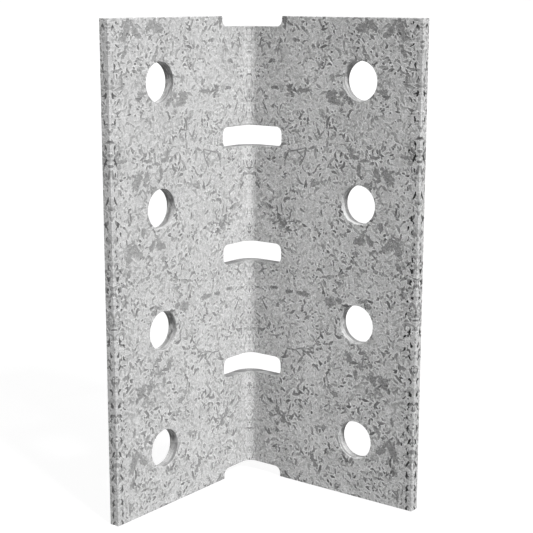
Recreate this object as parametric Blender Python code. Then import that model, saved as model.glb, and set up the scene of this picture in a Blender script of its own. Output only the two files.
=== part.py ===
"""Angle bracket for timber and framing: one strip of galvanised sheet steel.

The strip is punched flat, with a row of bolt holes in each leg and a row of relief slots
across the fold line, and it is then folded to a right angle. Both ends are cut through the
middle of a slot. The bracket stands on one end, +Z up. Its outer faces look along +Y (left
leg) and +X (right leg), and the origin is at the centre of the bottom of its box.
"""

from math import cos, pi, radians, sin

import bmesh
import bpy
from mathutils import Matrix

# Driving dimensions, in metres
MM = 0.001
HOLE_PITCH = 28.0 * MM
HOLE_ROWS = 4
LEG_WIDTH = 50.0 * MM
SHEET_THICKNESS = 2.5 * MM
INSIDE_BEND_RADIUS = 2.25 * MM
HOLE_DIAMETER = 9.0 * MM
HOLE_EDGE_DISTANCE = 16.0 * MM
SLOT_HEIGHT = 4.8 * MM
SLOT_REACH = 12.2 * MM
SLOT_CORNER_RADIUS = 1.6 * MM

# Share of the thickness, from the inside of the fold, where the steel keeps its length
NEUTRAL_SHARE = 0.42

# How finely the round stretches are divided
HOLE_SEGMENTS = 48
CORNER_STEPS = 6
FOLD_STRIPS = 12

# Sizes that follow from the driving ones
LENGTH = HOLE_PITCH * HOLE_ROWS
SETBACK = SHEET_THICKNESS + INSIDE_BEND_RADIUS
FOLD_ANGLE = pi / 2
NEUTRAL_RADIUS = INSIDE_BEND_RADIUS + NEUTRAL_SHARE * SHEET_THICKNESS
FOLD_HALF_WIDTH = FOLD_ANGLE * NEUTRAL_RADIUS / 2
FOLD_CENTRE = LEG_WIDTH / 2 - SETBACK

# A punch stands this far proud of the sheet on each side
PUNCH_OVERHANG = 1.0 * MM
# Points closer than this are one point
WELD_DISTANCE = 0.001 * MM
SMOOTH_ANGLE = radians(30)

STEEL_COLOUR = (0.52, 0.52, 0.52, 1.0)
STEEL_ROUGHNESS = 0.42
STEEL_METALLIC = 0.9


def flat_position(from_corner):
    """Distance from the fold line on the flat blank, for a distance from the folded outer corner."""
    return from_corner - SETBACK + FOLD_HALF_WIDTH


HOLE_ACROSS = flat_position(LEG_WIDTH - HOLE_EDGE_DISTANCE)


def steps_between(start, end, steps):
    """Evenly spaced values from start to end, both included."""
    return [start + (end - start) * step / steps for step in range(steps + 1)]


def new_collection(name):
    """An empty collection in the scene."""
    collection = bpy.data.collections.new(name)
    bpy.context.scene.collection.children.link(collection)
    return collection


def add_guide(name, mesh, collection):
    """An object that shapes the bracket and isn't part of it."""
    guide = bpy.data.objects.new(name, mesh)
    guide.display_type = "WIRE"
    guide.hide_render = True
    collection.objects.link(guide)
    return guide


def evaluated_mesh(thing):
    """A new mesh of an object as its modifiers or its curve leave it."""
    evaluated = thing.evaluated_get(bpy.context.evaluated_depsgraph_get())
    return bpy.data.meshes.new_from_object(evaluated)


def scribe_line(bm, point, normal):
    """Divides every face of the blank along a plane, without cutting it apart."""
    everything = bm.verts[:] + bm.edges[:] + bm.faces[:]
    bmesh.ops.bisect_plane(bm, geom=everything, dist=WELD_DISTANCE, plane_co=point, plane_no=normal)


def blank_mesh():
    """The uncut strip, lying flat, scribed along the fold and through the holes' centres."""
    width = 2 * flat_position(LEG_WIDTH)
    middle = Matrix.Translation((0, LENGTH / 2, 0))
    size = Matrix.Diagonal((width, LENGTH, SHEET_THICKNESS, 1))
    bm = bmesh.new()
    bmesh.ops.create_cube(bm, size=1, matrix=middle @ size)
    for across in steps_between(-FOLD_HALF_WIDTH, FOLD_HALF_WIDTH, FOLD_STRIPS):
        scribe_line(bm, (across, 0, 0), (1, 0, 0))
    for side in (-1, 1):
        scribe_line(bm, (side * HOLE_ACROSS, 0, 0), (1, 0, 0))
    for row in range(HOLE_ROWS):
        scribe_line(bm, (0, (row + 0.5) * HOLE_PITCH, 0), (0, 1, 0))
    mesh = bpy.data.meshes.new("blank")
    bm.to_mesh(mesh)
    bm.free()
    return mesh


def hole_punch_mesh():
    """A round punch for one bolt hole."""
    bm = bmesh.new()
    bmesh.ops.create_cone(
        bm,
        cap_ends=True,
        segments=HOLE_SEGMENTS,
        radius1=HOLE_DIAMETER / 2,
        radius2=HOLE_DIAMETER / 2,
        depth=SHEET_THICKNESS + 2 * PUNCH_OVERHANG,
    )
    mesh = bpy.data.meshes.new("hole_punch")
    bm.to_mesh(mesh)
    bm.free()
    return mesh


def slot_outline():
    """A relief slot across the fold line: a rectangle with its four corners rounded."""
    radius = min(SLOT_CORNER_RADIUS, SLOT_HEIGHT / 2)
    centre_x = flat_position(SLOT_REACH) - radius
    centre_y = SLOT_HEIGHT / 2 - radius
    outline = []
    for quarter, (side_x, side_y) in enumerate([(1, 1), (-1, 1), (-1, -1), (1, -1)]):
        start = quarter * pi / 2
        for angle in steps_between(start, start + pi / 2, CORNER_STEPS):
            x = side_x * centre_x + radius * cos(angle)
            y = side_y * centre_y + radius * sin(angle)
            outline.append((x, y))
    return outline


def slot_punch_mesh():
    """A punch for one relief slot: its outline as a filled 2D curve, extruded and welded."""
    curve = bpy.data.curves.new("slot", "CURVE")
    curve.dimensions = "2D"
    curve.fill_mode = "BOTH"
    curve.extrude = SHEET_THICKNESS / 2 + PUNCH_OVERHANG
    outline = slot_outline()
    spline = curve.splines.new("POLY")
    spline.points.add(len(outline) - 1)
    for point, (x, y) in zip(spline.points, outline):
        point.co = (x, y, 0, 1)
    spline.use_cyclic_u = True
    slot = bpy.data.objects.new("slot", curve)
    bpy.context.scene.collection.objects.link(slot)
    mesh = evaluated_mesh(slot)
    bpy.data.objects.remove(slot)
    bm = bmesh.new()
    bm.from_mesh(mesh)
    bmesh.ops.remove_doubles(bm, verts=bm.verts, dist=WELD_DISTANCE)
    bm.to_mesh(mesh)
    bm.free()
    return mesh


def add_punches(collection):
    """One punch for each bolt hole and each slot, where they meet the flat blank."""
    hole_mesh = hole_punch_mesh()
    for row in range(HOLE_ROWS):
        for leg, side in (("left", -1), ("right", 1)):
            punch = add_guide(f"{leg}_hole_punch_{row}", hole_mesh, collection)
            punch.location = (side * HOLE_ACROSS, (row + 0.5) * HOLE_PITCH, 0)
    slot_mesh = slot_punch_mesh()
    for row in range(HOLE_ROWS + 1):
        punch = add_guide(f"slot_punch_{row}", slot_mesh, collection)
        punch.location = (0, row * HOLE_PITCH, 0)


def punched_blank():
    """The flat blank with every hole and slot cut by its punch."""
    punches = new_collection("punches")
    add_punches(punches)
    blank = add_guide("flat_blank", blank_mesh(), new_collection("flat blank"))
    cut = blank.modifiers.new("punch", "BOOLEAN")
    cut.operation = "DIFFERENCE"
    cut.solver = "EXACT"
    cut.operand_type = "COLLECTION"
    cut.collection = punches
    return blank


def folded(position):
    """Where a point of the flat blank lies on the folded bracket."""
    across, height, above = position
    reach = INSIDE_BEND_RADIUS + SHEET_THICKNESS / 2 - above
    if across <= -FOLD_HALF_WIDTH:
        return (FOLD_CENTRE + across + FOLD_HALF_WIDTH, FOLD_CENTRE + reach, height)
    if across >= FOLD_HALF_WIDTH:
        return (FOLD_CENTRE + reach, FOLD_CENTRE - across + FOLD_HALF_WIDTH, height)
    angle = (FOLD_HALF_WIDTH - across) / NEUTRAL_RADIUS
    return (FOLD_CENTRE + reach * cos(angle), FOLD_CENTRE + reach * sin(angle), height)


def folded_mesh(blank):
    """The punched blank wrapped round the bend radius."""
    mesh = evaluated_mesh(blank)
    for vertex in mesh.vertices:
        vertex.co = folded(vertex.co)
    mesh.shade_smooth()
    mesh.set_sharp_from_angle(angle=SMOOTH_ANGLE)
    return mesh


def galvanised_steel():
    """Material of the zinc-coated sheet."""
    material = bpy.data.materials.new("galvanised_steel")
    material.use_nodes = True
    shader = material.node_tree.nodes["Principled BSDF"]
    shader.inputs["Base Color"].default_value = STEEL_COLOUR
    shader.inputs["Roughness"].default_value = STEEL_ROUGHNESS
    shader.inputs["Metallic"].default_value = STEEL_METALLIC
    return material


def build_bracket():
    """The one folded piece, in the object's own collection."""
    mesh = folded_mesh(punched_blank())
    mesh.name = "angle_bracket"
    mesh.materials.append(galvanised_steel())
    bracket = bpy.data.objects.new("angle_bracket", mesh)
    new_collection("angle bracket").objects.link(bracket)


for old in list(bpy.data.objects):
    bpy.data.objects.remove(old)
build_bracket()
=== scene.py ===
"""Angle bracket of galvanised sheet steel, dressed: fine mesh, zinc finish, light and camera."""

from math import cos, pi, radians, sin

import bmesh
import bpy
from mathutils import Matrix, Vector


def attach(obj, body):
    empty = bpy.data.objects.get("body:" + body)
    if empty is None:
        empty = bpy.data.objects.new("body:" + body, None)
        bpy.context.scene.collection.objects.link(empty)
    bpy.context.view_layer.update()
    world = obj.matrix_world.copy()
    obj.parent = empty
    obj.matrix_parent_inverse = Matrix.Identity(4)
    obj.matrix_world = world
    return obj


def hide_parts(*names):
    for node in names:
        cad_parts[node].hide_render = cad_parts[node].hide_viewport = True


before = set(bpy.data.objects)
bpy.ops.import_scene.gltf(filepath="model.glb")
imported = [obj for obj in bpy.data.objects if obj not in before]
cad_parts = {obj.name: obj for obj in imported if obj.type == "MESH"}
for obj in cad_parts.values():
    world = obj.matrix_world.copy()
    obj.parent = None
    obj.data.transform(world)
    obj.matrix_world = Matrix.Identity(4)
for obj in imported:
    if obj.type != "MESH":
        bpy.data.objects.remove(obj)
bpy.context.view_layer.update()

# Dimensions of the bracket, in metres
MM = 0.001
HOLE_PITCH = 28.0 * MM
HOLE_ROWS = 4
LEG_WIDTH = 50.0 * MM
SHEET_THICKNESS = 2.5 * MM
INSIDE_BEND_RADIUS = 2.25 * MM
HOLE_DIAMETER = 9.0 * MM
HOLE_EDGE_DISTANCE = 16.0 * MM
SLOT_HEIGHT = 4.8 * MM
SLOT_REACH = 12.2 * MM
SLOT_CORNER_RADIUS = 1.6 * MM
EDGE_RADIUS = 0.12 * MM

# Share of the thickness, from the inside of the fold, where the steel keeps its length
NEUTRAL_SHARE = 0.42

# How finely the round stretches are divided
HOLE_SEGMENTS = 96
CORNER_STEPS = 12
FOLD_STRIPS = 32
EDGE_STEPS = 2

# Sizes that follow from the ones above
LENGTH = HOLE_PITCH * HOLE_ROWS
SETBACK = SHEET_THICKNESS + INSIDE_BEND_RADIUS
FOLD_ANGLE = pi / 2
NEUTRAL_RADIUS = INSIDE_BEND_RADIUS + NEUTRAL_SHARE * SHEET_THICKNESS
FOLD_HALF_WIDTH = FOLD_ANGLE * NEUTRAL_RADIUS / 2
FOLD_CENTRE = LEG_WIDTH / 2 - SETBACK

# A punch stands this far proud of the sheet on each side
PUNCH_OVERHANG = 1.0 * MM
# Points closer than this are one point
WELD_DISTANCE = 0.001 * MM
# Edges that turn more than this are eased
EDGE_ANGLE = radians(40)

# Point attribute that holds each point's place in the zinc's pattern, in millimetres. The back
# of the sheet reads the pattern this much higher up.
PLACE = "coat_place"
BACK_SHIFT = 17.0 * MM

# Point attribute that says how bare of zinc the steel is, from 0 to 1, and so how much painted
# shade darkens the walls of holes and slots. The foot of a hole passes into its upper part over
# a share of the hole's diameter.
BARE_AND_SHADE = "bare_steel_and_painted_shade"
# Bare steel and painted shade in one value: the slots' walls get the most painted shade
BARE_AND_SHADE_AT_SLOT_FRONT = 0.73
BARE_AND_SHADE_AT_SLOT_BACK = 0.80
BARE_AND_SHADE_AT_HOLE_FOOT = 0.62
HOLE_FOOT_BLEND = 0.4

# Sizes in the zinc's pattern, in millimetres, and the depth of its relief
LUMP_SIZE = 0.6
CLOUD_SIZE = 8.0
FLAKE_SIZE = 0.75
RAGGED_SIZE = 0.7
CROWD_SIZE = 5.0
GAP_SIZE = 1.9
RELIEF_DEPTH = 0.11 * MM

# How far the lumps are swirled, and how dense the streaks of bare steel are in each direction
LUMP_DISTORTION = 1.6
STREAKS_THROUGH_SHEET = 3.5
STREAKS_ALONG_RIM = 0.35

# How straight things turn uneven: the size of the waves and their reach, in millimetres
NEEDLE_WAVES = (0.9, 0.1)
FLAKE_WAVES = (0.6, 0.35)
LEAF_WAVES = (0.9, 0.7)
DASH_WAVES = (2.4, 1.2)

# The zinc's base grey, and what makes it lighter or darker as a share of that grey. The
# faintest small needle has its share of the darkest one's depth.
BASE_GREY = 0.563
FLAKE_TONE = 0.08
LIGHT_NEEDLE_TONE = 0.18
RIM_TONE = 0.2
PATCH_TONE = 0.1
NEEDLE_SHADE = 0.67
LONG_NEEDLE_SHADE = 0.49
LEAF_SHADE = 0.42
GRAIN_SHADE = 0.46
FAINTEST_NEEDLE = 0.35

# Fades: where each starts and ends, and what it gives at either end. These run over soft noise.
LUMP_TONES = (0.3, 0.7, 0.84, 1.16)
CLOUD_TONES = (0.3, 0.7, 0.96, 1.04)
LUMP_ROUGHNESS = (0.3, 0.7, 0.5, 0.6)
RAGGED_RIM = (0.3, 0.7, -0.32, 0.32)
CROWDING = (0.35, 0.6, 0.5, 1.0)
CLUMPING = (0.5, 0.68)
DASH_GAPS = (0.38, 0.5, 0.35, 1.25)
STEEL_STREAKS = (0.35, 0.65, 0.5, 1.2)

# These run over the distance from the fold, in millimetres. It is negative on the left leg
# in those by leg and in the place of the band of painted shade. The band itself runs over the
# distance from that place. The tone by leg is painted shade as well: it makes the fold, the left
# leg next to it and the whole right leg a little darker.
NEEDLES_FROM_FOLD = (4.0, 26.0, 0.8, 1.05)
LEAVES_FROM_FOLD = (14.0, 28.0, 0.15, 1.0)
CONTRAST_FROM_FOLD = (4.0, 22.0, 1.25, 1.0)
CONTRAST_BY_LEG = (-3.0, 8.0, 1.0, 1.3)
# Painted shade: the fold, the left leg next to it and the right leg a little darker
PAINTED_SHADE_BY_LEG = (-18.0, -4.0, 1.0, 0.93)
# A soft band of painted shade on the right leg beside the fold
PAINTED_SHADE_BAND_PLACE = 6.5
PAINTED_SHADE_BAND = (2.0, 13.0, 0.84, 1.0)

# These run over how bare the steel is. The first lays bare steel on the walls. The second is
# painted shade that darkens the back of the walls.
WALL_COVER = (0.0, 0.05, 0.0, 0.9)
# Painted shade that darkens the back of the walls of holes and slots
WALL_PAINTED_SHADE = (0.6, 0.85, 1.0, 0.35)

# How needles and other marks end, as distances from their middle in units of their half sizes
NEEDLE_EDGE = (1.2, 0.7)
NEEDLE_RIM = (2.6, 1.3)
CRISP_EDGE = (1.06, 0.94)
SOFT_EDGE = (1.3, 0.5)

# The coat's sheen and relief
METALLIC = 0.08
SHADE_ROUGHNESS = 0.15
RIM_RELIEF = 0.4

# Small needles in layers: seed, size of a cell, length, half width and share of cells that hold one
LIGHT_NEEDLES = (
    (1, 1.0, 0.8, 0.2, 0.9),
    (6, 1.0, 0.8, 0.2, 0.9),
)
DARK_NEEDLES = (
    (2, 1.5, 0.95, 0.34, 0.34),
    (3, 0.9, 0.46, 0.26, 0.4),
    (4, 2.2, 1.3, 0.4, 0.32),
    (5, 1.2, 0.65, 0.26, 0.4),
)

# Flat leaves in layers: seed, size of a leaf, size of a clump and share of leaves in a clump
LEAVES = (
    (1, 1.0, 5.0, 0.1),
    (2, 1.4, 8.0, 0.08),
)

# The marks that catch the eye are listed one by one: distance from the fold, height, half
# length, half width and angle, in millimetres and degrees. They are the same on both legs and
# come again at every step of the repeat.
COAT_REPEAT = 48.0
LARGE_GRAINS = (
    (24.3, 46.3, 1.5, 1.3, 20),
    (16.6, 47.3, 2.2, 0.6, 0),
    (12.4, 47.3, 1.1, 0.5, 10),
    (8.0, 47.6, 1.4, 0.35, 0),
    (27.0, 47.0, 1.0, 0.7, -30),
    (28.9, 45.7, 1.3, 0.6, -35),
    (34.9, 46.7, 1.0, 0.6, -10),
    (32.3, 13.7, 1.8, 1.0, 12),
    (33.4, 15.2, 1.0, 0.5, 80),
    (35.1, 14.1, 1.6, 0.8, -50),
    (40.2, 14.2, 2.6, 0.4, 52),
    (39.3, 12.8, 1.6, 0.7, 36),
    (42.0, 14.4, 1.3, 1.0, 60),
    (42.7, 12.6, 2.1, 1.0, -62),
    (43.0, 8.8, 1.6, 0.6, -60),
    (38.1, 17.5, 1.1, 0.55, -60),
    (36.6, 29.7, 1.5, 0.85, -70),
    (39.5, 29.2, 2.2, 1.1, -48),
    (40.6, 30.2, 1.1, 0.3, 20),
    (37.4, 26.4, 0.9, 0.3, 38),
    (38.9, 26.4, 0.9, 0.35, -30),
    (35.2, 26.7, 1.0, 0.4, 80),
    (29.8, 34.2, 1.3, 0.7, -30),
    (30.3, 33.0, 1.5, 0.6, -15),
    (33.9, 33.8, 1.3, 0.3, 85),
    (33.2, 32.2, 1.6, 0.35, 5),
    (31.9, 30.0, 1.4, 0.6, 85),
    (44.4, 33.8, 1.4, 0.45, -5),
    (9.5, 16.9, 1.4, 0.6, -58),
    (11.0, 15.4, 1.3, 0.7, 75),
    (42.1, 20.4, 0.9, 0.45, -80),
    (7.0, 19.2, 0.9, 0.4, -30),
)
LONG_NEEDLES = (
    (11.6, 31.8, 1.4, 0.24, 68),
    (13.3, 33.1, 1.4, 0.18, 6),
    (15.9, 33.7, 1.5, 0.18, 16),
    (15.5, 32.5, 1.4, 0.18, -38),
    (17.0, 33.0, 1.3, 0.3, 82),
    (16.1, 31.0, 1.4, 0.3, 56),
    (18.9, 34.2, 1.0, 0.32, 22),
    (12.8, 17.9, 1.5, 0.21, 76),
    (9.0, 18.7, 1.0, 0.24, 100),
    (10.2, 19.4, 1.0, 0.15, 95),
    (13.2, 16.3, 1.2, 0.16, 12),
    (12.4, 14.3, 1.1, 0.3, -18),
    (14.6, 13.5, 0.9, 0.22, -45),
    (8.3, 15.5, 0.9, 0.22, 27),
    (16.2, 19.3, 0.9, 0.34, -35),
    (20.9, 14.6, 0.9, 0.28, -60),
    (44.0, 2.6, 1.7, 0.34, 88),
    (5.2, 43.0, 1.5, 0.2, -60),
    (21.6, 37.6, 1.2, 0.2, 50),
    (19.9, 36.9, 1.1, 0.18, -55),
    (26.9, 30.7, 1.3, 0.13, 18),
)

# Upright dashes close to the rims, which come again at a shorter step
DASH_REPEAT = COAT_REPEAT / 17
RIM_DASHES = (
    (46.5, 0.0, 0.8, 0.3, 88),
    (45.1, 1.4, 0.55, 0.18, 76),
)

# Soft patches along the fold where the coat is a little paler
PALE_PATCHES = (
    (1.0, 31.8, 2.6, 3.2, 0),
    (1.0, 19.5, 2.4, 6.0, 0),
)

# Farther than any point of the pattern, in millimetres
UNLIMITED = 1000.0

# Long needles and dashes have this share of the raggedness of grains
NEEDLE_RAGGEDNESS = 0.7

# The studio, in metres, degrees and watts. A lamp is its name, azimuth, elevation, size and
# power. The floor's glow fades from near the bracket outwards.
FLOOR_DROP = 0.2 * MM
FLOOR_HALF_WIDTH = 20.0
FLOOR_DIVISIONS = 8
FLOOR_GLOW = (0.2, 1.5, 0.92, 1.0)
FLOOR_GREY = 0.06
SEEN_FLOOR_GREY = 0.14
AMBIENT = 0.1
LAMP_DISTANCE = 6.0
LAMPS = (
    ("key", -17.2, 40, 1.0, 418),
    ("top", -50, 80, 4.0, 65),
    ("fill", -90, 25, 2.5, 62),
    ("back", 142, 40, 4.0, 55),
)

# The camera looks into the inside of the angle from a little above. Angles are in degrees.
CAMERA_PLACE = (-0.22821, -0.17330, 0.11719)
CAMERA_HEADING = -52.788
CAMERA_DOWN = 11.616
CAMERA_ROLL = 0.109
CAMERA_SENSOR_MM = 36.0
CAMERA_LENS_MM = 89.85
CAMERA_NEAR = 0.01
CAMERA_FAR = 100.0


def flat_position(from_corner):
    """Distance from the fold line on the flat blank, for a distance from the folded outer corner."""
    return from_corner - SETBACK + FOLD_HALF_WIDTH


HOLE_ACROSS = flat_position(LEG_WIDTH - HOLE_EDGE_DISTANCE)


def steps_between(start, end, steps):
    """Evenly spaced values from start to end, both included."""
    return [start + (end - start) * step / steps for step in range(steps + 1)]


def new_collection(name):
    """An empty collection in the scene."""
    collection = bpy.data.collections.new(name)
    bpy.context.scene.collection.children.link(collection)
    return collection


def add_guide(name, mesh, collection):
    """An object that shapes the bracket and isn't rendered."""
    guide = bpy.data.objects.new(name, mesh)
    guide.display_type = "WIRE"
    guide.hide_render = True
    collection.objects.link(guide)
    return guide


def evaluated_mesh(thing):
    """A new mesh of an object as its modifiers or its curve leave it."""
    evaluated = thing.evaluated_get(bpy.context.evaluated_depsgraph_get())
    return bpy.data.meshes.new_from_object(evaluated)


def mesh_from(bm, name):
    """Turns a finished bmesh into a mesh."""
    mesh = bpy.data.meshes.new(name)
    bm.to_mesh(mesh)
    bm.free()
    return mesh


def weld(mesh):
    """Joins the points of a mesh that lie on each other."""
    bm = bmesh.new()
    bm.from_mesh(mesh)
    bmesh.ops.remove_doubles(bm, verts=bm.verts, dist=WELD_DISTANCE)
    bm.to_mesh(mesh)
    bm.free()


def scribe_line(bm, point, normal):
    """Divides every face of the blank along a plane, without cutting it apart."""
    everything = bm.verts[:] + bm.edges[:] + bm.faces[:]
    bmesh.ops.bisect_plane(bm, geom=everything, dist=WELD_DISTANCE, plane_co=point, plane_no=normal)


def blank_mesh():
    """The uncut strip, lying flat, scribed along the fold and through the holes' centres."""
    width = 2 * flat_position(LEG_WIDTH)
    middle = Matrix.Translation((0, LENGTH / 2, 0))
    size = Matrix.Diagonal((width, LENGTH, SHEET_THICKNESS, 1))
    bm = bmesh.new()
    bmesh.ops.create_cube(bm, size=1, matrix=middle @ size)
    for across in steps_between(-FOLD_HALF_WIDTH, FOLD_HALF_WIDTH, FOLD_STRIPS):
        scribe_line(bm, (across, 0, 0), (1, 0, 0))
    for side in (-1, 1):
        scribe_line(bm, (side * HOLE_ACROSS, 0, 0), (1, 0, 0))
    for row in range(HOLE_ROWS):
        scribe_line(bm, (0, (row + 0.5) * HOLE_PITCH, 0), (0, 1, 0))
    return mesh_from(bm, "blank")


def hole_punch_mesh():
    """A round punch for one bolt hole."""
    bm = bmesh.new()
    bmesh.ops.create_cone(
        bm,
        cap_ends=True,
        segments=HOLE_SEGMENTS,
        radius1=HOLE_DIAMETER / 2,
        radius2=HOLE_DIAMETER / 2,
        depth=SHEET_THICKNESS + 2 * PUNCH_OVERHANG,
    )
    return mesh_from(bm, "hole_punch")


def slot_outline():
    """A relief slot across the fold line: a rectangle with its four corners rounded."""
    centre_x = flat_position(SLOT_REACH) - SLOT_CORNER_RADIUS
    centre_y = SLOT_HEIGHT / 2 - SLOT_CORNER_RADIUS
    outline = []
    for quarter, (side_x, side_y) in enumerate([(1, 1), (-1, 1), (-1, -1), (1, -1)]):
        start = quarter * pi / 2
        for angle in steps_between(start, start + pi / 2, CORNER_STEPS):
            x = side_x * centre_x + SLOT_CORNER_RADIUS * cos(angle)
            y = side_y * centre_y + SLOT_CORNER_RADIUS * sin(angle)
            outline.append((x, y))
    return outline


def slot_punch_mesh():
    """A punch for one relief slot: its outline as a filled 2D curve, extruded and welded."""
    curve = bpy.data.curves.new("slot", "CURVE")
    curve.dimensions = "2D"
    curve.fill_mode = "BOTH"
    curve.extrude = SHEET_THICKNESS / 2 + PUNCH_OVERHANG
    outline = slot_outline()
    spline = curve.splines.new("POLY")
    spline.points.add(len(outline) - 1)
    for point, (x, y) in zip(spline.points, outline):
        point.co = (x, y, 0, 1)
    spline.use_cyclic_u = True
    slot = bpy.data.objects.new("slot", curve)
    bpy.context.scene.collection.objects.link(slot)
    mesh = evaluated_mesh(slot)
    bpy.data.objects.remove(slot)
    weld(mesh)
    return mesh


def add_punches(collection):
    """One punch for each bolt hole and each slot, where they meet the flat blank."""
    hole_mesh = hole_punch_mesh()
    for row in range(HOLE_ROWS):
        for leg, side in (("left", -1), ("right", 1)):
            punch = add_guide(f"{leg}_hole_punch_{row}", hole_mesh, collection)
            punch.location = (side * HOLE_ACROSS, (row + 0.5) * HOLE_PITCH, 0)
    slot_mesh = slot_punch_mesh()
    for row in range(HOLE_ROWS + 1):
        punch = add_guide(f"slot_punch_{row}", slot_mesh, collection)
        punch.location = (0, row * HOLE_PITCH, 0)


def punched_blank():
    """The flat blank with every hole and slot cut, and its sharp edges eased."""
    punches = new_collection("punches")
    add_punches(punches)
    blank = add_guide("flat_blank", blank_mesh(), new_collection("flat blank"))
    cut = blank.modifiers.new("punch", "BOOLEAN")
    cut.operation = "DIFFERENCE"
    cut.solver = "EXACT"
    cut.operand_type = "COLLECTION"
    cut.collection = punches
    ease = blank.modifiers.new("eased edges", "BEVEL")
    ease.width = EDGE_RADIUS
    ease.segments = EDGE_STEPS
    ease.limit_method = "ANGLE"
    ease.angle_limit = EDGE_ANGLE
    return blank


def folded(position):
    """Where a point of the flat blank lies on the folded bracket."""
    across, height, above = position
    reach = INSIDE_BEND_RADIUS + SHEET_THICKNESS / 2 - above
    if across <= -FOLD_HALF_WIDTH:
        return (FOLD_CENTRE + across + FOLD_HALF_WIDTH, FOLD_CENTRE + reach, height)
    if across >= FOLD_HALF_WIDTH:
        return (FOLD_CENTRE + reach, FOLD_CENTRE - across + FOLD_HALF_WIDTH, height)
    angle = (FOLD_HALF_WIDTH - across) / NEUTRAL_RADIUS
    return (FOLD_CENTRE + reach * cos(angle), FOLD_CENTRE + reach * sin(angle), height)


def coat_place(vertex):
    """Where the zinc's pattern is read for a point of the flat sheet, in millimetres.

    Its parts are the distance from the fold, the height, and the distance again with a sign
    that tells the legs apart. On a cut edge the pattern runs back inwards from the rim, and
    the back of the sheet reads another stretch of it.
    """
    across, height, above = vertex.co
    below = SHEET_THICKNESS / 2 - above
    if below > SHEET_THICKNESS - WELD_DISTANCE:
        height += BACK_SHIFT
    elif below > WELD_DISTANCE:
        outwards = Vector((vertex.normal.x, vertex.normal.y)).normalized()
        across -= outwards.x * below
        height -= outwards.y * below
    return (abs(across) / MM, height / MM, across / MM)


def bareness_and_painted_shade(vertex):
    """How bare the steel is in the walls of holes and slots: more and more towards the back.

    The foot of each hole gets lower values, and so less of the painted shade that darkens the
    back of the walls. The slots and the upper part of each hole get the most.
    """
    across, height, above = vertex.co
    below = SHEET_THICKNESS / 2 - above
    depth = below / SHEET_THICKNESS
    on_wall = WELD_DISTANCE < below < SHEET_THICKNESS - WELD_DISTANCE
    in_slot = abs(across) < flat_position(SLOT_REACH) + WELD_DISTANCE
    inside_rim = abs(across) < HOLE_ACROSS + HOLE_DIAMETER / 2 + WELD_DISTANCE
    in_hole = inside_rim and 2 * EDGE_RADIUS < height < LENGTH - 2 * EDGE_RADIUS
    # Slots, and the upper part of each hole, carry the most painted shade
    if on_wall and in_slot:
        return BARE_AND_SHADE_AT_SLOT_FRONT + (BARE_AND_SHADE_AT_SLOT_BACK - BARE_AND_SHADE_AT_SLOT_FRONT) * depth
    if on_wall and in_hole:
        above_centre = (height % HOLE_PITCH - HOLE_PITCH / 2) / HOLE_DIAMETER
        upper_share = min(max(above_centre / HOLE_FOOT_BLEND + 0.5, 0.0), 1.0)
        return depth * (BARE_AND_SHADE_AT_HOLE_FOOT + (1.0 - BARE_AND_SHADE_AT_HOLE_FOOT) * upper_share)
    return 0.0


def dressed_bracket():
    """The punched blank wrapped round the bend radius. Each point keeps its place in the coat."""
    mesh = evaluated_mesh(punched_blank())
    mesh.name = "angle_bracket_sheet"
    weld(mesh)
    mesh.attributes.new(PLACE, "FLOAT_VECTOR", "POINT")
    mesh.attributes.new(BARE_AND_SHADE, "FLOAT", "POINT")
    for vertex, read in zip(mesh.vertices, mesh.attributes[PLACE].data):
        read.vector = coat_place(vertex)
    for vertex, read in zip(mesh.vertices, mesh.attributes[BARE_AND_SHADE].data):
        read.value = bareness_and_painted_shade(vertex)
    for vertex in mesh.vertices:
        vertex.co = folded(vertex.co)
    mesh.shade_smooth()
    bracket = bpy.data.objects.new("angle_bracket_sheet", mesh)
    bpy.context.scene.collection.objects.link(bracket)
    normals = bracket.modifiers.new("flat faces stay flat", "WEIGHTED_NORMAL")
    normals.weight = 100
    return bracket


def feed(tree, socket, source):
    """Gives an input its value, or the output of another node."""
    if isinstance(source, bpy.types.NodeSocket):
        tree.links.new(source, socket)
    else:
        socket.default_value = source


def add_node(tree, kind, inputs, **settings):
    """A node with its settings and named inputs."""
    node = tree.nodes.new(kind)
    for name, value in settings.items():
        setattr(node, name, value)
    for name, source in inputs.items():
        feed(tree, node.inputs[name], source)
    return node


def maths(tree, operation, *sources):
    """The result of a Math node."""
    node = tree.nodes.new("ShaderNodeMath")
    node.operation = operation
    for socket, source in zip(node.inputs, sources):
        feed(tree, socket, source)
    return node.outputs[0]


def times(tree, first, second):
    """One value times another."""
    return maths(tree, "MULTIPLY", first, second)


def added(tree, base, part, share):
    """A base value with a share of another one added."""
    return maths(tree, "MULTIPLY_ADD", part, share, base)


def larger(tree, first, second):
    """The larger of two values."""
    return maths(tree, "MAXIMUM", first, second)


def fade(tree, value, start, end, low=0.0, high=1.0):
    """Low where the value is at start, high at end, and a smooth step between."""
    inputs = {"Value": value, "From Min": start, "From Max": end, "To Min": low, "To Max": high}
    node = add_node(tree, "ShaderNodeMapRange", inputs, interpolation_type="SMOOTHSTEP")
    return node.outputs["Result"]


def vector_maths(tree, operation, *sources):
    """The vector result of a Vector Math node."""
    node = tree.nodes.new("ShaderNodeVectorMath")
    node.operation = operation
    for socket, source in zip(node.inputs, sources):
        feed(tree, socket, source)
    return node.outputs[0]


def vector_length(tree, vector):
    """The length of a vector."""
    return add_node(tree, "ShaderNodeVectorMath", {0: vector}, operation="LENGTH").outputs["Value"]


def turned(tree, vector, angle):
    """A vector turned about the Z axis."""
    inputs = {"Vector": vector, "Angle": angle}
    node = add_node(tree, "ShaderNodeVectorRotate", inputs, rotation_type="Z_AXIS")
    return node.outputs["Vector"]


def separate(tree, vector):
    """The three parts of a vector or colour."""
    return add_node(tree, "ShaderNodeSeparateXYZ", {"Vector": vector}).outputs


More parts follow.
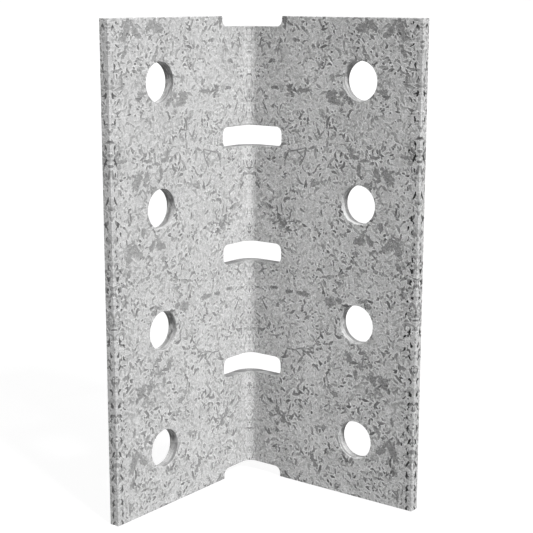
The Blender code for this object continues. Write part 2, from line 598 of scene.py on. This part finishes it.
def attribute(tree, name):
    """The outputs of a node that reads a point attribute."""
    return add_node(tree, "ShaderNodeAttribute", {}, attribute_name=name).outputs


def noise(tree, place, size, detail=2.0, distortion=0.0):
    """The outputs of soft noise whose lumps are about size across."""
    inputs = {"Vector": place, "Scale": 1 / size, "Detail": detail, "Distortion": distortion}
    return add_node(tree, "ShaderNodeTexNoise", inputs, noise_dimensions="2D").outputs


def cells(tree, place, size):
    """The outputs of a pattern of irregular cells about size across."""
    inputs = {"Vector": place, "Scale": 1 / size}
    return add_node(tree, "ShaderNodeTexVoronoi", inputs, voronoi_dimensions="2D").outputs


def wandered(tree, place, size, reach):
    """The place, moved by up to about reach in waves of a size, so that straight things bend."""
    push = vector_maths(tree, "SUBTRACT", noise(tree, place, size)["Color"], (0.5, 0.5, 0.5))
    push = vector_maths(tree, "MULTIPLY", push, (2 * reach, 2 * reach, 0))
    return vector_maths(tree, "ADD", place, push)


def needles(tree, plane, seed, cell, length, width, share):
    """Masks of short bent strokes and of the rims round them.

    A cell holds one stroke or none, with an angle, a bend, a length and a depth of its own.
    """
    place = vector_maths(tree, "ADD", plane, (37.0 * seed, 91.0 * seed, 0))
    pattern = cells(tree, place, cell)
    turn, bend, size = separate(tree, pattern["Color"])
    drawn = add_node(tree, "ShaderNodeTexWhiteNoise", {"Vector": pattern["Color"]}).outputs
    offset = vector_maths(tree, "SUBTRACT", place, pattern["Position"])
    along, aside, _ = separate(tree, turned(tree, offset, times(tree, turn, 2 * pi)))
    bow = times(tree, times(tree, along, along), maths(tree, "SUBTRACT", bend, 0.5))
    aside = maths(tree, "DIVIDE", maths(tree, "ADD", aside, bow), width)
    along = maths(tree, "DIVIDE", along, added(tree, length / 2, size, length))
    distance = added(tree, maths(tree, "ABSOLUTE", aside), along, along)
    chance = separate(tree, drawn["Color"])[1]
    depth = added(tree, FAINTEST_NEEDLE, chance, 1 - FAINTEST_NEEDLE)
    depth = times(tree, depth, maths(tree, "LESS_THAN", drawn["Value"], share))
    core = times(tree, fade(tree, distance, *NEEDLE_EDGE), depth)
    rim = times(tree, fade(tree, distance, *NEEDLE_RIM), depth)
    return core, rim


def leaves(tree, plane, seed, size, clump_size, share):
    """Mask of flat ragged leaf shapes that keep together in clumps, fewer near the fold."""
    place = vector_maths(tree, "ADD", plane, (53.0 * seed, 29.0 * seed, 0))
    ragged = wandered(tree, place, *LEAF_WAVES)
    chance = separate(tree, cells(tree, ragged, size)["Color"])[0]
    clump = noise(tree, place, clump_size, 1.0)["Fac"]
    wanted = fade(tree, clump, *CLUMPING, 0.0, share)
    across = separate(tree, plane)[0]
    wanted = times(tree, wanted, fade(tree, across, *LEAVES_FROM_FOLD))
    return maths(tree, "LESS_THAN", chance, wanted)


def marks(tree, place, ragged, shapes, repeat, edge):
    """Mask of chosen marks: ellipses with uneven rims that come again up the sheet."""
    reach = (UNLIMITED, repeat / 2, UNLIMITED)
    mask = 0.0
    for across, height, length, width, angle in shapes:
        offset = vector_maths(tree, "SUBTRACT", place, (across, height, 0))
        offset = vector_maths(tree, "WRAP", offset, reach, tuple(-side for side in reach))
        offset = turned(tree, offset, radians(-angle))
        scaled = vector_maths(tree, "DIVIDE", offset, (length, width, 1))
        distance = maths(tree, "ADD", vector_length(tree, scaled), ragged)
        mask = larger(tree, mask, fade(tree, distance, *edge))
    return mask


def ground_tone(tree, plane, wavy, lumps):
    """Tone of the zinc between its dark marks, which is about 1."""
    clouds = noise(tree, plane, CLOUD_SIZE)["Fac"]
    flakes = cells(tree, wandered(tree, plane, *FLAKE_WAVES), FLAKE_SIZE)
    tone = fade(tree, lumps, *LUMP_TONES)
    tone = times(tree, tone, fade(tree, clouds, *CLOUD_TONES))
    tone = added(tree, tone, separate(tree, flakes["Color"])[0], FLAKE_TONE)
    for layer in LIGHT_NEEDLES:
        light, _ = needles(tree, wavy, *layer)
        tone = added(tree, tone, light, LIGHT_NEEDLE_TONE)
    return tone


def small_needles(tree, plane, wavy):
    """Masks of the small dark needles, which crowd together in places, and of their light rims."""
    dark, rims = 0.0, 0.0
    for layer in DARK_NEEDLES:
        core, rim = needles(tree, wavy, *layer)
        dark = larger(tree, dark, core)
        rims = larger(tree, rims, rim)
    across = separate(tree, plane)[0]
    crowd = fade(tree, noise(tree, plane, CROWD_SIZE, 1.0)["Fac"], *CROWDING)
    crowd = times(tree, crowd, fade(tree, across, *NEEDLES_FROM_FOLD))
    return times(tree, dark, crowd), times(tree, rims, crowd)


def shade_of_marks(tree, plane, wavy, dark):
    """How far the needles, dashes, leaves and large grains darken the zinc."""
    ragged = fade(tree, noise(tree, plane, RAGGED_SIZE)["Fac"], *RAGGED_RIM)
    uneven = times(tree, ragged, NEEDLE_RAGGEDNESS)
    grains = marks(tree, wavy, ragged, LARGE_GRAINS, COAT_REPEAT, CRISP_EDGE)
    long_needles = marks(tree, wavy, uneven, LONG_NEEDLES, COAT_REPEAT, CRISP_EDGE)
    scattered = wandered(tree, plane, *DASH_WAVES)
    dashes = marks(tree, scattered, uneven, RIM_DASHES, DASH_REPEAT, CRISP_EDGE)
    gaps = fade(tree, noise(tree, plane, GAP_SIZE, 1.0)["Fac"], *DASH_GAPS)
    shade = times(tree, larger(tree, dark, times(tree, dashes, gaps)), NEEDLE_SHADE)
    shade = larger(tree, shade, times(tree, long_needles, LONG_NEEDLE_SHADE))
    shade = larger(tree, shade, times(tree, grains, GRAIN_SHADE))
    for layer in LEAVES:
        leaf = leaves(tree, plane, *layer)
        shade = larger(tree, shade, times(tree, leaf, LEAF_SHADE))
    return shade


def along_the_fold(tree, tone, across, side):
    """The change of the coat from leg to leg.

    Contrast rises near the fold and on the right leg. Painted shade makes the fold and the right
    leg a little darker, and a soft band of painted shade runs beside the fold on the right leg.
    """
    strength = fade(tree, side, *CONTRAST_BY_LEG)
    strength = times(tree, strength, fade(tree, across, *CONTRAST_FROM_FOLD))
    tone = added(tree, 1.0, maths(tree, "SUBTRACT", tone, 1.0), strength)
    # Painted shade: the fold and the right leg a little darker
    tone = times(tree, tone, fade(tree, side, *PAINTED_SHADE_BY_LEG))
    # A soft band of painted shade on the right leg beside the fold
    from_shade_band = maths(tree, "ABSOLUTE", maths(tree, "SUBTRACT", side, PAINTED_SHADE_BAND_PLACE))
    return times(tree, tone, fade(tree, from_shade_band, *PAINTED_SHADE_BAND))


def on_cut_walls(tree, tone, across, height):
    """Streaks of bare steel where the punch cut through the sheet, with painted shade at the back.
    """
    bare = attribute(tree, BARE_AND_SHADE)["Fac"]
    along = times(tree, maths(tree, "ADD", height, across), STREAKS_ALONG_RIM)
    inputs = {"X": times(tree, bare, STREAKS_THROUGH_SHEET), "Y": along}
    streaks = add_node(tree, "ShaderNodeCombineXYZ", inputs).outputs["Vector"]
    steel = fade(tree, noise(tree, streaks, 1.0)["Fac"], *STEEL_STREAKS)
    on_wall = fade(tree, bare, *WALL_COVER)
    tone = added(tree, tone, maths(tree, "SUBTRACT", steel, tone), on_wall)
    # Painted shade: the walls darken towards the back
    return times(tree, tone, fade(tree, bare, *WALL_PAINTED_SHADE))


def zinc_material():
    """Hot-dip galvanised sheet: fine needles and leafy grains of zinc in many neutral greys."""
    material = bpy.data.materials.new("galvanised_zinc")
    material.use_nodes = True
    tree = material.node_tree
    place = attribute(tree, PLACE)["Vector"]
    across, height, side = separate(tree, place)
    plane = vector_maths(tree, "MULTIPLY", place, (1, 1, 0))
    wavy = wandered(tree, plane, *NEEDLE_WAVES)
    lumps = noise(tree, plane, LUMP_SIZE, distortion=LUMP_DISTORTION)["Fac"]

    dark, rims = small_needles(tree, plane, wavy)
    shade = shade_of_marks(tree, plane, wavy, dark)
    tone = ground_tone(tree, plane, wavy, lumps)
    tone = added(tree, tone, rims, RIM_TONE)
    tone = times(tree, tone, maths(tree, "SUBTRACT", 1.0, shade))
    patches = marks(tree, plane, 0.0, PALE_PATCHES, COAT_REPEAT, SOFT_EDGE)
    tone = added(tree, tone, patches, PATCH_TONE)
    # Painted shade by the fold, and at the back of the walls of holes and slots
    tone = along_the_fold(tree, tone, across, side)
    tone = on_cut_walls(tree, tone, across, height)
    grey = times(tree, tone, BASE_GREY)
    colour = add_node(tree, "ShaderNodeCombineColor", {"Red": grey, "Green": grey, "Blue": grey})

    roughness = fade(tree, lumps, *LUMP_ROUGHNESS)
    roughness = added(tree, roughness, shade, SHADE_ROUGHNESS)
    relief = maths(tree, "SUBTRACT", added(tree, lumps, rims, RIM_RELIEF), dark)
    inputs = {"Height": relief, "Distance": RELIEF_DEPTH, "Strength": 1.0}
    bump = add_node(tree, "ShaderNodeBump", inputs)

    shader = tree.nodes["Principled BSDF"]
    shader.inputs["Metallic"].default_value = METALLIC
    tree.links.new(colour.outputs["Color"], shader.inputs["Base Color"])
    tree.links.new(roughness, shader.inputs["Roughness"])
    tree.links.new(bump.outputs["Normal"], shader.inputs["Normal"])
    return material


def seen_directly(tree):
    """1 for rays of the camera and for rays that mirror or refract, which see the pale ground."""
    rays = tree.nodes.new("ShaderNodeLightPath").outputs
    seen = larger(tree, rays["Is Camera Ray"], rays["Is Glossy Ray"])
    return larger(tree, seen, rays["Is Transmission Ray"])


def diffuse_grey(tree, grey):
    """A plain matt grey."""
    inputs = {"Color": (grey, grey, grey, 1)}
    return add_node(tree, "ShaderNodeBsdfDiffuse", inputs).outputs["BSDF"]


def floor_material():
    """Dull floor for the light that it sends back, and a white one with shadows for the eye."""
    material = bpy.data.materials.new("pale_floor")
    material.use_nodes = True
    tree = material.node_tree
    tree.nodes.remove(tree.nodes["Principled BSDF"])
    place = add_node(tree, "ShaderNodeNewGeometry", {}).outputs["Position"]
    glow = fade(tree, vector_length(tree, place), *FLOOR_GLOW)
    glow = add_node(tree, "ShaderNodeEmission", {"Strength": glow}).outputs["Emission"]
    pale = add_node(tree, "ShaderNodeAddShader", {0: diffuse_grey(tree, SEEN_FLOOR_GREY), 1: glow})
    choice = add_node(tree, "ShaderNodeMixShader", {"Fac": seen_directly(tree)})
    tree.links.new(diffuse_grey(tree, FLOOR_GREY), choice.inputs[1])
    tree.links.new(pale.outputs["Shader"], choice.inputs[2])
    tree.links.new(choice.outputs["Shader"], tree.nodes["Material Output"].inputs["Surface"])
    return material


def add_floor():
    """A wide floor just under the bracket."""
    bm = bmesh.new()
    divisions = FLOOR_DIVISIONS
    bmesh.ops.create_grid(bm, x_segments=divisions, y_segments=divisions, size=FLOOR_HALF_WIDTH)
    floor = bpy.data.objects.new("floor", mesh_from(bm, "floor"))
    floor.location.z = -FLOOR_DROP
    floor.data.materials.append(floor_material())
    bpy.context.scene.collection.objects.link(floor)


def set_world():
    """Even grey light from all round, with a white background."""
    world = bpy.data.worlds.new("studio")
    bpy.context.scene.world = world
    world.use_nodes = True
    tree = world.node_tree
    background = tree.nodes["Background"]
    background.inputs["Color"].default_value = (1, 1, 1, 1)
    strength = fade(tree, seen_directly(tree), 0.0, 1.0, AMBIENT, 1.0)
    tree.links.new(strength, background.inputs["Strength"])


def turned_to(heading, down):
    """A turn that looks level along +Y, then swings left by heading and tips down."""
    return Matrix.Rotation(radians(heading), 4, "Z") @ Matrix.Rotation(radians(90 - down), 4, "X")


def add_lamp(name, azimuth, elevation, size, power):
    """A square soft light that looks at the middle of the bracket. Azimuth 0 is the -Y side."""
    lamp = bpy.data.lights.new(name, "AREA")
    lamp.shape = "SQUARE"
    lamp.size = size
    lamp.energy = power
    light = bpy.data.objects.new(name, lamp)
    middle = Matrix.Translation((0, 0, LENGTH / 2))
    back = Matrix.Translation((0, 0, LAMP_DISTANCE))
    light.matrix_world = middle @ turned_to(azimuth, elevation) @ back
    bpy.context.scene.collection.objects.link(light)


def add_camera():
    """The view into the inside of the angle."""
    camera = bpy.data.cameras.new("camera")
    camera.sensor_width = CAMERA_SENSOR_MM
    camera.lens = CAMERA_LENS_MM
    camera.clip_start = CAMERA_NEAR
    camera.clip_end = CAMERA_FAR
    view = bpy.data.objects.new("camera", camera)
    roll = Matrix.Rotation(radians(CAMERA_ROLL), 4, "Z")
    place = Matrix.Translation(CAMERA_PLACE)
    view.matrix_world = place @ turned_to(CAMERA_HEADING, CAMERA_DOWN) @ roll
    bpy.context.scene.collection.objects.link(view)
    bpy.context.scene.camera = view


bracket = dressed_bracket()
bracket.data.materials.clear()
bracket.data.materials.append(zinc_material())
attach(bracket, "root")
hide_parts("angle_bracket")

add_floor()
set_world()
for lamp_settings in LAMPS:
    add_lamp(*lamp_settings)
add_camera()
bpy.context.scene.view_settings.view_transform = "Standard"
